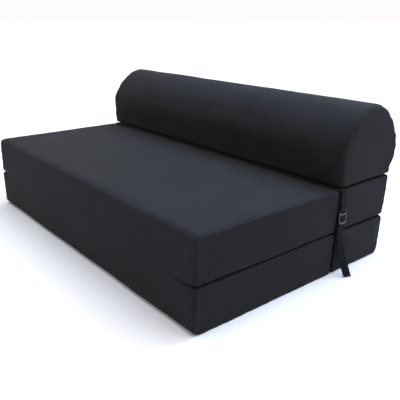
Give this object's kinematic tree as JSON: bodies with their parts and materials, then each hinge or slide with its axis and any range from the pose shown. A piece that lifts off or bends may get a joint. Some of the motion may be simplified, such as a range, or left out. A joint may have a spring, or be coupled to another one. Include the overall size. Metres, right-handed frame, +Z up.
{
  "type": "folding futon mattress",
  "caption": "Folding foam futon mattress stacked as a low sofa: fabric-covered seat and back blocks, a D-shaped bolster, fabric hinges and a buckled webbing strap on each end.",
  "frame": {"origin": "centre of the footprint, on the floor", "axes": "+X along the width to the end seen from the front's right, +Y to the back, +Z up"},
  "size_m": [1.3016, 0.8284, 0.502],
  "materials": {
    "cover_fabric": "matte",
    "foam": "matte",
    "webbing": "matte",
    "buckle_plastic": "satin",
    "zip_tape": "matte",
    "zip_metal": "satin"
  },
  "bodies": {
    "seat_and_back_base": {"seat_bottom_cover": "cover_fabric", "seat_bottom_foam": "foam", "seat_bottom_zip_tape": "zip_tape", "back_lower_cover": "cover_fabric", "back_lower_foam": "foam", "back_lower_zip_tape": "zip_tape", "front_hinge_web": "cover_fabric", "rear_hinge_web": "cover_fabric", "seat_back_web": "cover_fabric", "strap_lower_right": "webbing", "strap_lower_left": "webbing"},
    "seat_top": {"seat_top_cover": "cover_fabric", "seat_top_foam": "foam", "seat_top_zip_tape": "zip_tape"},
    "back_middle": {"back_middle_cover": "cover_fabric", "back_middle_foam": "foam", "back_middle_zip_tape": "zip_tape", "bolster_hinge_web": "cover_fabric", "strap_upper_right": "webbing", "strap_upper_left": "webbing"},
    "bolster": {"bolster_cover": "cover_fabric", "bolster_foam": "foam", "bolster_zip_tape": "zip_tape"},
    "buckle_right": {"ladder_buckle_right": "buckle_plastic"},
    "buckle_left": {"ladder_buckle_left": "buckle_plastic"},
    "seat_bottom_slider": {"seat_bottom_zip_slider": "zip_metal"},
    "seat_bottom_pull": {"seat_bottom_zip_pull": "zip_metal"},
    "seat_top_slider": {"seat_top_zip_slider": "zip_metal"},
    "seat_top_pull": {"seat_top_zip_pull": "zip_metal"},
    "back_lower_slider": {"back_lower_zip_slider": "zip_metal"},
    "back_lower_pull": {"back_lower_zip_pull": "zip_metal"},
    "back_middle_slider": {"back_middle_zip_slider": "zip_metal"},
    "back_middle_pull": {"back_middle_zip_pull": "zip_metal"},
    "bolster_slider": {"bolster_zip_slider": "zip_metal"},
    "bolster_pull": {"bolster_zip_pull": "zip_metal"}
  },
  "joints": [
    {"name": "seat_fold", "type": "hinge", "parent": "seat_and_back_base", "child": "seat_top", "pos_m": [0, -0.41475, 0.135], "axis": [1, 0, 0], "range_deg": [0, 180], "deforming": ["front_hinge_web"]},
    {"name": "back_fold", "type": "hinge", "parent": "seat_and_back_base", "child": "back_middle", "pos_m": [0, 0.39625, 0.135], "axis": [-1, 0, 0], "range_deg": [0, 180], "deforming": ["rear_hinge_web", "strap_lower_right", "strap_lower_left"]},
    {"name": "bolster_fold", "type": "hinge", "parent": "back_middle", "child": "bolster", "pos_m": [0, 0.13025, 0.272], "axis": [1, 0, 0], "range_deg": [0, 180], "deforming": ["bolster_hinge_web"]},
    {"name": "buckle_right_lift", "type": "hinge", "parent": "back_middle", "child": "buckle_right", "pos_m": [0.60465, 0.15075, 0.2045], "axis": [0, -1, 0], "range_deg": [0, 60]},
    {"name": "buckle_left_lift", "type": "hinge", "parent": "back_middle", "child": "buckle_left", "pos_m": [-0.60465, 0.15075, 0.2045], "axis": [0, 1, 0], "range_deg": [0, 60]},
    {"name": "seat_bottom_zip", "type": "slide", "parent": "seat_and_back_base", "child": "seat_bottom_slider", "axis": [0, -1, 0], "range_m": [0, 0.454]},
    {"name": "seat_bottom_pull_flip", "type": "hinge", "parent": "seat_bottom_slider", "child": "seat_bottom_pull", "pos_m": [-0.6046, 0.08775, 0.0665], "axis": [0, 0, 1], "range_deg": [0, 180]},
    {"name": "seat_top_zip", "type": "slide", "parent": "seat_top", "child": "seat_top_slider", "axis": [0, -1, 0], "range_m": [0, 0.454]},
    {"name": "seat_top_pull_flip", "type": "hinge", "parent": "seat_top_slider", "child": "seat_top_pull", "pos_m": [-0.6046, 0.08775, 0.2035], "axis": [0, 0, 1], "range_deg": [0, 180]},
    {"name": "back_lower_zip", "type": "slide", "parent": "seat_and_back_base", "child": "back_lower_slider", "axis": [0, -1, 0], "range_m": [0, 0.145]},
    {"name": "back_lower_pull_flip", "type": "hinge", "parent": "back_lower_slider", "child": "back_lower_pull", "pos_m": [-0.6046, 0.35975, 0.0665], "axis": [0, 0, 1], "range_deg": [0, 180]},
    {"name": "back_middle_zip", "type": "slide", "parent": "back_middle", "child": "back_middle_slider", "axis": [0, -1, 0], "range_m": [0, 0.145]},
    {"name": "back_middle_pull_flip", "type": "hinge", "parent": "back_middle_slider", "child": "back_middle_pull", "pos_m": [-0.6046, 0.35975, 0.2035], "axis": [0, 0, 1], "range_deg": [0, 180]},
    {"name": "bolster_zip", "type": "slide", "parent": "bolster", "child": "bolster_slider", "axis": [0, -1, 0], "range_m": [0, 0.191]},
    {"name": "bolster_pull_flip", "type": "hinge", "parent": "bolster_slider", "child": "bolster_pull", "pos_m": [-0.6046, 0.35975, 0.3405], "axis": [0, 0, 1], "range_deg": [0, 180]}
  ],
  "couplings": [
    {"joint": "bolster_fold", "follows": "back_fold", "ratio": 1}
  ]
}
